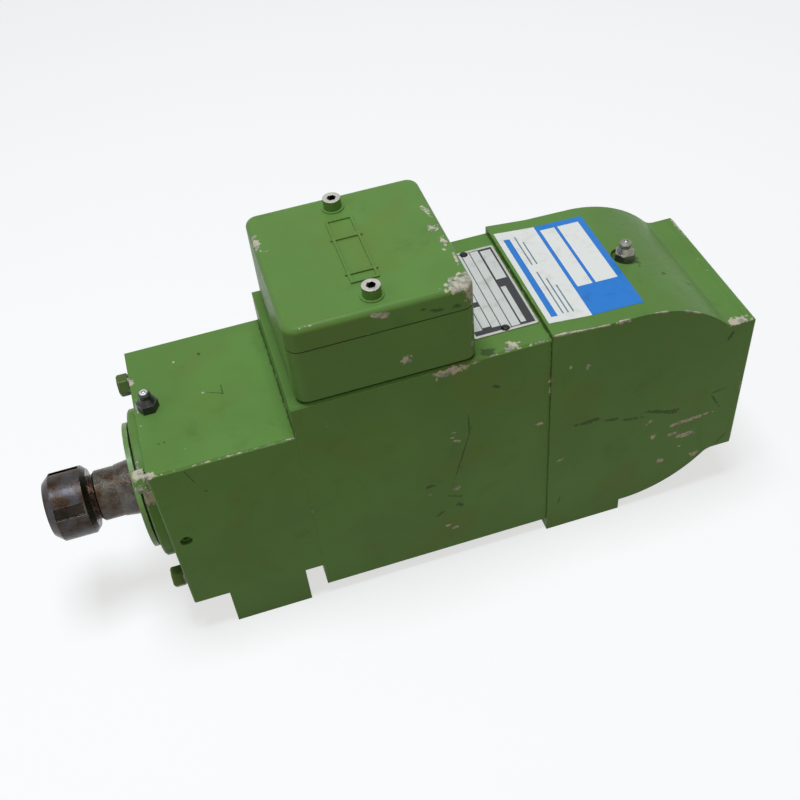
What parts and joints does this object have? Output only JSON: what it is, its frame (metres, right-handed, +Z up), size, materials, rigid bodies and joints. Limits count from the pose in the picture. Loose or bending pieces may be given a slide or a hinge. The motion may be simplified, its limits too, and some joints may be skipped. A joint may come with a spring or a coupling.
{
  "type": "electric motor spindle",
  "caption": "Flat-bodied electric motor spindle with a slit collet and nut, bearing pair, fan-cooled motor and terminal box.",
  "frame": {"origin": "on the spindle axis at the mouth of the collet", "axes": "+X along the spindle axis towards the rear end, +Z up through the terminal box, the near long side faces -Y"},
  "size_m": [0.3585, 0.09, 0.1936],
  "materials": {
    "green_paint": "worn satin green enamel on cast iron and aluminium, chipped on the edges",
    "painted_fasteners": "screws and fittings painted over with the housing, worn on the corners",
    "worn_steel": "turned steel, handled, stained and lightly rusted",
    "slinger_steel": "steel, cone bare and disc painted green",
    "collet_steel": "ground hardened steel",
    "bearing_steel": "ground and polished bearing steel",
    "plain_steel": "dull bare steel",
    "zinc": "dull zinc plate",
    "cage_brass": "machined brass",
    "electrical_steel": "stacked laminations, edges dull",
    "winding": "enamelled copper wire under varnish",
    "aluminium": "cast and rolled aluminium",
    "fan_plastic": "moulded black plastic",
    "board_plastic": "moulded insulating board",
    "gasket_rubber": "black sheet rubber"
  },
  "bodies": {
    "motor": {"front_bearing_housing": "green_paint", "front_bearing_cover": "green_paint", "front_cover_screws": "painted_fasteners", "housing_bolts": "painted_fasteners", "spring_washers": "plain_steel", "grease_port_plug": "painted_fasteners", "stator_housing": "green_paint", "stator_core": "electrical_steel", "stator_windings": "winding", "bearing_a_outer_ring": "bearing_steel", "bearing_b_outer_ring": "bearing_steel", "outer_spacer_ring": "plain_steel", "rear_housing": "green_paint", "rear_housing_screws": "plain_steel", "rear_outer_ring": "bearing_steel", "preload_washer": "plain_steel", "rear_end_plate": "green_paint", "end_plate_screws": "plain_steel", "terminal_box_base": "green_paint", "box_gasket": "gasket_rubber", "box_base_screws": "plain_steel", "terminal_box_lid": "green_paint", "lid_gasket": "gasket_rubber", "lid_screws": "plain_steel", "terminal_board": "board_plastic", "terminal_board_screws": "plain_steel", "terminal_studs": "cage_brass", "terminal_links": "cage_brass", "terminal_nuts": "cage_brass", "earth_screw": "plain_steel", "nameplate": "aluminium", "nameplate_rivets": "aluminium", "front_grease_nipple": "painted_fasteners", "front_nipple_spring": "plain_steel", "rear_grease_nipple": "zinc", "rear_nipple_spring": "plain_steel"},
    "spindle": {"spindle_shaft": "worn_steel", "slinger": "slinger_steel", "bearing_a_inner_ring": "bearing_steel", "bearing_b_inner_ring": "bearing_steel", "inner_spacer_ring": "plain_steel", "lock_washer": "worn_steel", "bearing_lock_nut": "worn_steel", "rotor_core": "electrical_steel", "rotor_end_rings": "aluminium", "rear_inner_ring": "bearing_steel", "rear_bearing_circlip": "plain_steel", "fan": "fan_plastic", "fan_circlip": "plain_steel"},
    "bearing_a_set": {"bearing_a_cage": "cage_brass", "bearing_a_balls": "bearing_steel"},
    "bearing_b_set": {"bearing_b_cage": "cage_brass", "bearing_b_balls": "bearing_steel"},
    "rear_bearing_set": {"rear_cage": "cage_brass", "rear_balls": "bearing_steel"},
    "collet": {"collet": "collet_steel"},
    "nut": {"collet_nut": "worn_steel", "extractor_ring": "worn_steel"},
    "front_check_ball": {"front_nipple_ball": "bearing_steel"},
    "rear_check_ball": {"rear_nipple_ball": "bearing_steel"}
  },
  "joints": [
    {"name": "spindle_spin", "type": "hinge", "parent": "motor", "child": "spindle", "pos_m": [0.2, 0, 0], "axis": [1, 0, 0], "continuous": true},
    {"name": "bearing_a_roll", "type": "hinge", "parent": "motor", "child": "bearing_a_set", "pos_m": [0.0765, 0, 0], "axis": [1, 0, 0], "continuous": true},
    {"name": "bearing_b_roll", "type": "hinge", "parent": "motor", "child": "bearing_b_set", "pos_m": [0.0945, 0, 0], "axis": [1, 0, 0], "continuous": true},
    {"name": "rear_bearing_roll", "type": "hinge", "parent": "motor", "child": "rear_bearing_set", "pos_m": [0.295, 0, 0], "axis": [1, 0, 0], "continuous": true},
    {"name": "collet_slide", "type": "slide", "parent": "spindle", "child": "collet", "axis": [-1, 0, 0], "range_m": [0, 0.0045]},
    {"name": "nut_turn", "type": "hinge", "parent": "collet", "child": "nut", "pos_m": [0.011, 0, 0], "axis": [-1, 0, 0], "range_deg": [0, 1080]},
    {"name": "front_ball_lift", "type": "slide", "parent": "motor", "child": "front_check_ball", "axis": [0, 0, -1], "range_m": [0, 0.0006], "stiffness_N_per_m": 300, "deforming": ["front_nipple_spring"]},
    {"name": "rear_ball_lift", "type": "slide", "parent": "motor", "child": "rear_check_ball", "axis": [0, 0, -1], "range_m": [0, 0.0006], "stiffness_N_per_m": 300, "deforming": ["rear_nipple_spring"]}
  ],
  "couplings": [
    {"joint": "bearing_a_roll", "follows": "spindle_spin", "ratio": 0.4},
    {"joint": "bearing_b_roll", "follows": "spindle_spin", "ratio": 0.4},
    {"joint": "rear_bearing_roll", "follows": "spindle_spin", "ratio": 0.4},
    {"joint": "nut_turn", "follows": "collet_slide", "rad_per_m": 4188.8}
  ]
}
